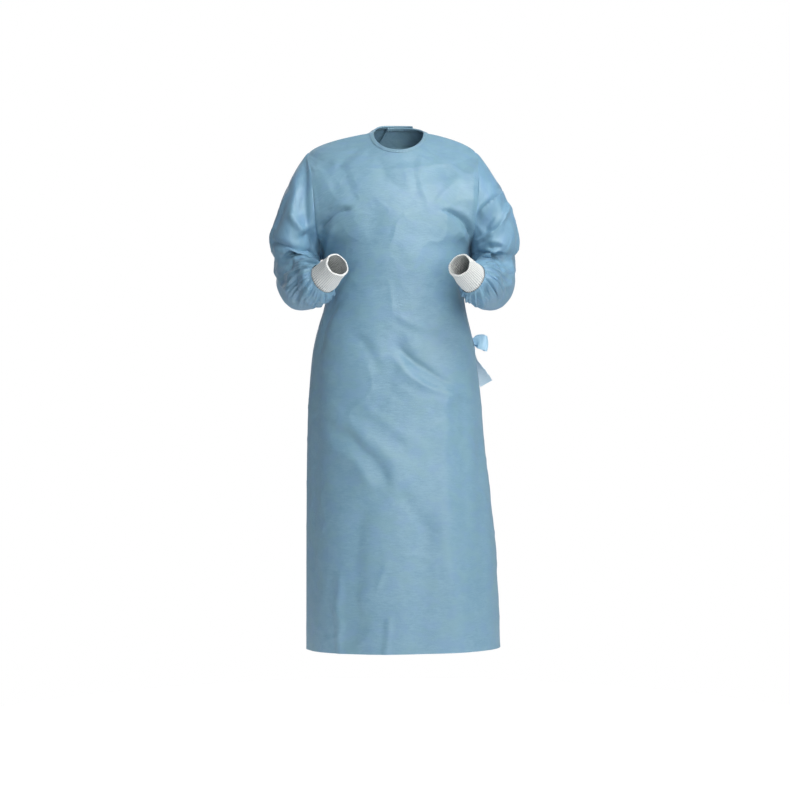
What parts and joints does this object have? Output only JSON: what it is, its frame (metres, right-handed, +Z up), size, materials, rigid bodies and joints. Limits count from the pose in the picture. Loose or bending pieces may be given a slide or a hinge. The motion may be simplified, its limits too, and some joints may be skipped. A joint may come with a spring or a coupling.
{
  "type": "surgical gown",
  "caption": "Long-sleeved surgical gown in its worn, hollow form, with knit cuffs, a bound neck, a wrapped back and a waist tie knotted at the side.",
  "frame": {"origin": "middle of the neck opening, level with the sides of the neck, where the wearer's shoulders carry the gown", "axes": "+Z up along the gown's length, -Y to the gown's front, +X to the wearer's left"},
  "size_m": [0.5943, 0.457, 1.263],
  "materials": {
    "cloth": "matt blue nonwoven with a slight sheen",
    "knit": "matt white ribbed knit",
    "tie": "paler blue nonwoven strip"
  },
  "bodies": {
    "root": {"front": "cloth", "back_outer": "cloth", "back_inner": "cloth", "sleeve_right": "cloth", "sleeve_left": "cloth", "cuff_right": "knit", "cuff_left": "knit", "neck_binding": "cloth", "neck_tab": "cloth", "tie_back": "tie", "tie_front": "tie", "tie_knot": "tie", "tie_loop": "tie", "tie_end_front": "tie", "tie_end_back": "tie"}
  },
  "joints": []
}
